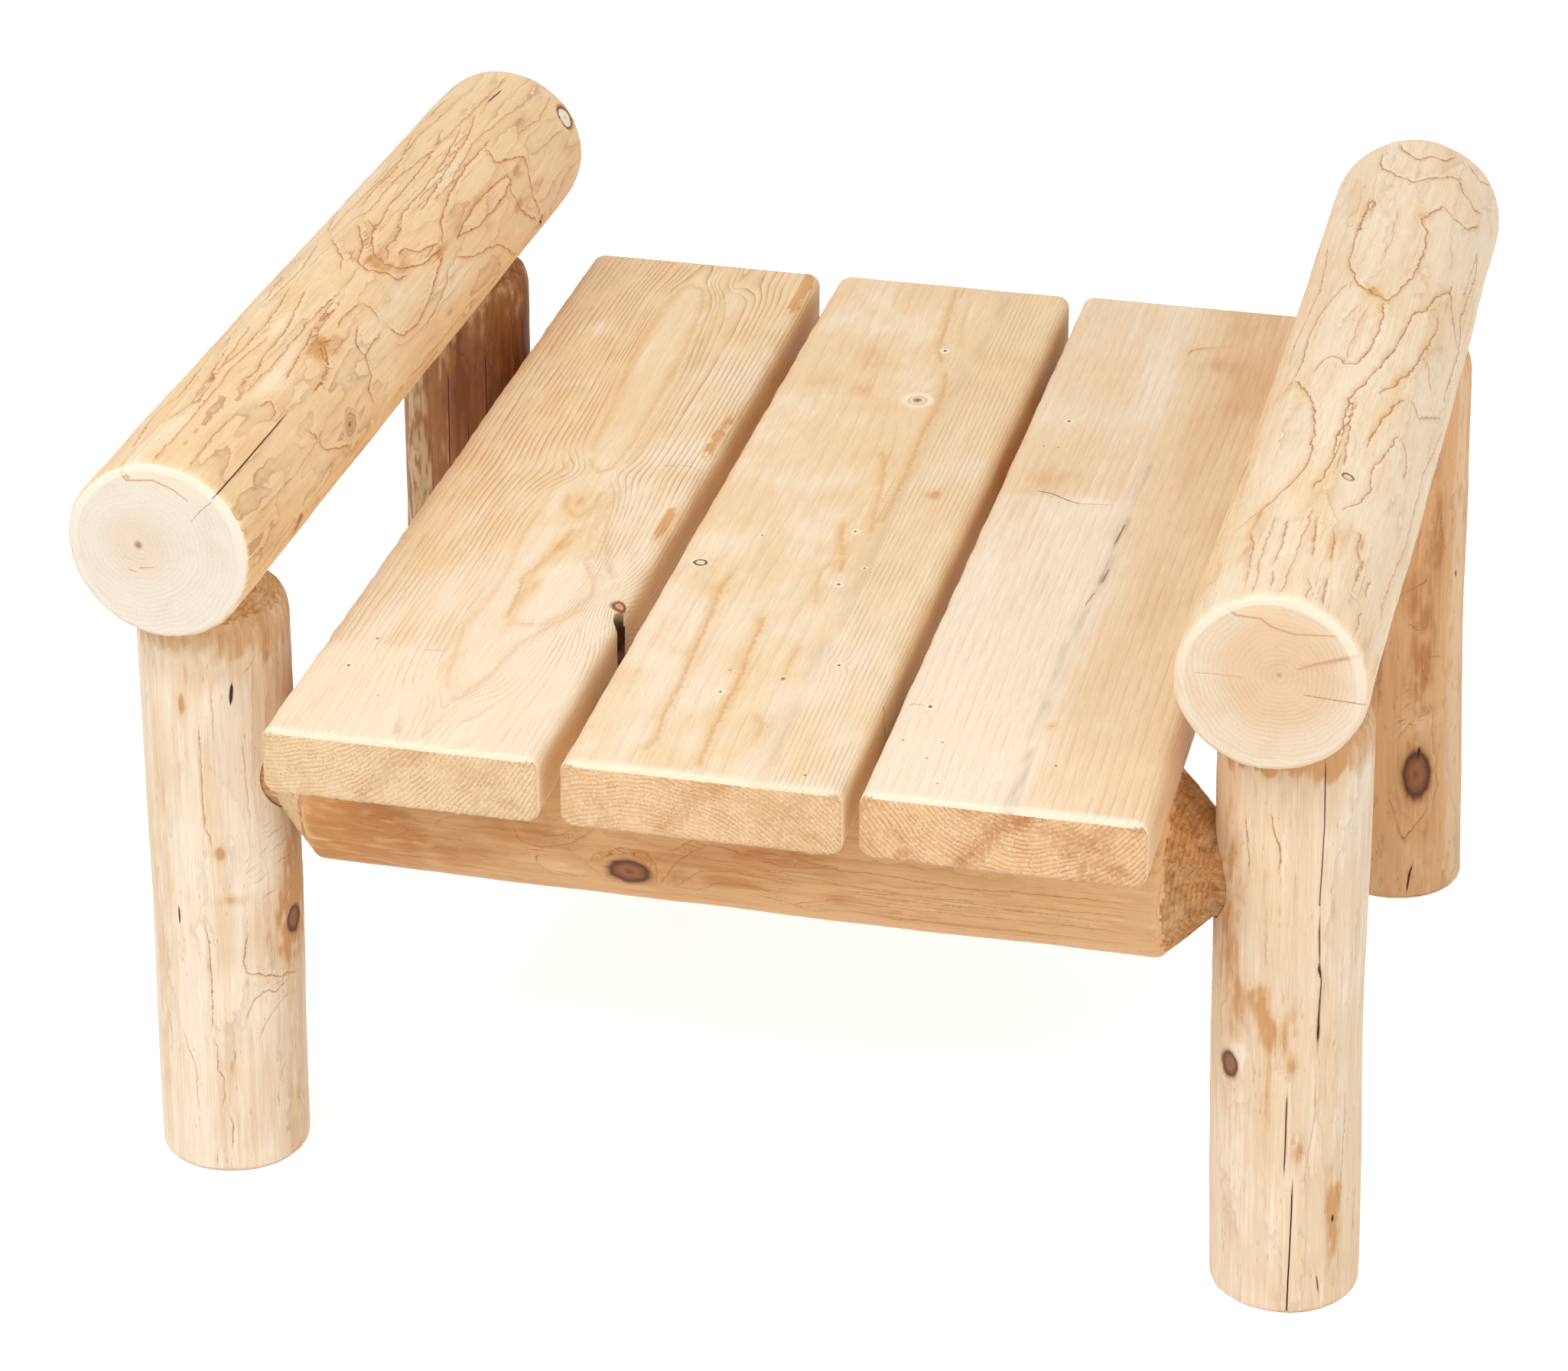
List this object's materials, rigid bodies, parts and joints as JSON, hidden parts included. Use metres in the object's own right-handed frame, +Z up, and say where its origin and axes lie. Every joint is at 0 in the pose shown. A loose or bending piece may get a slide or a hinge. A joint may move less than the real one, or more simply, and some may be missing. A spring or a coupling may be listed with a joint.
{
  "type": "log ottoman",
  "caption": "Low rustic ottoman: a plank seat between log arms, on splayed log legs with round tenons and cross rails.",
  "frame": {"origin": "bottom centre of the bounding box, on the floor plane of the feet", "axes": "+X to the right along the cross rails, +Y to the back along the arm logs and seat planks, +Z up"},
  "size_m": [0.6668, 0.6526, 0.428],
  "materials": {
    "post_wood": "clear satin over hand-peeled softwood",
    "arm_wood": "clear satin over hand-peeled softwood",
    "rail_wood": "clear satin over hand-peeled softwood",
    "plank_wood": "clear satin over planed softwood",
    "screw_steel": "dull zinc"
  },
  "bodies": {
    "root": {"front_left_post": "post_wood", "front_right_post": "post_wood", "rear_left_post": "post_wood", "rear_right_post": "post_wood", "left_arm_log": "arm_wood", "right_arm_log": "arm_wood", "front_rail": "rail_wood", "rear_rail": "rail_wood", "left_seat_plank": "plank_wood", "middle_seat_plank": "plank_wood", "right_seat_plank": "plank_wood", "front_left_arm_screw": "screw_steel", "front_left_rail_screw": "screw_steel", "front_right_arm_screw": "screw_steel", "front_right_rail_screw": "screw_steel", "rear_left_arm_screw": "screw_steel", "rear_left_rail_screw": "screw_steel", "rear_right_arm_screw": "screw_steel", "rear_right_rail_screw": "screw_steel", "front_left_plank_screw_left": "screw_steel", "front_left_plank_screw_right": "screw_steel", "front_middle_plank_screw_left": "screw_steel", "front_middle_plank_screw_right": "screw_steel", "front_right_plank_screw_left": "screw_steel", "front_right_plank_screw_right": "screw_steel", "rear_left_plank_screw_left": "screw_steel", "rear_left_plank_screw_right": "screw_steel", "rear_middle_plank_screw_left": "screw_steel", "rear_middle_plank_screw_right": "screw_steel", "rear_right_plank_screw_left": "screw_steel", "rear_right_plank_screw_right": "screw_steel"}
  },
  "joints": []
}
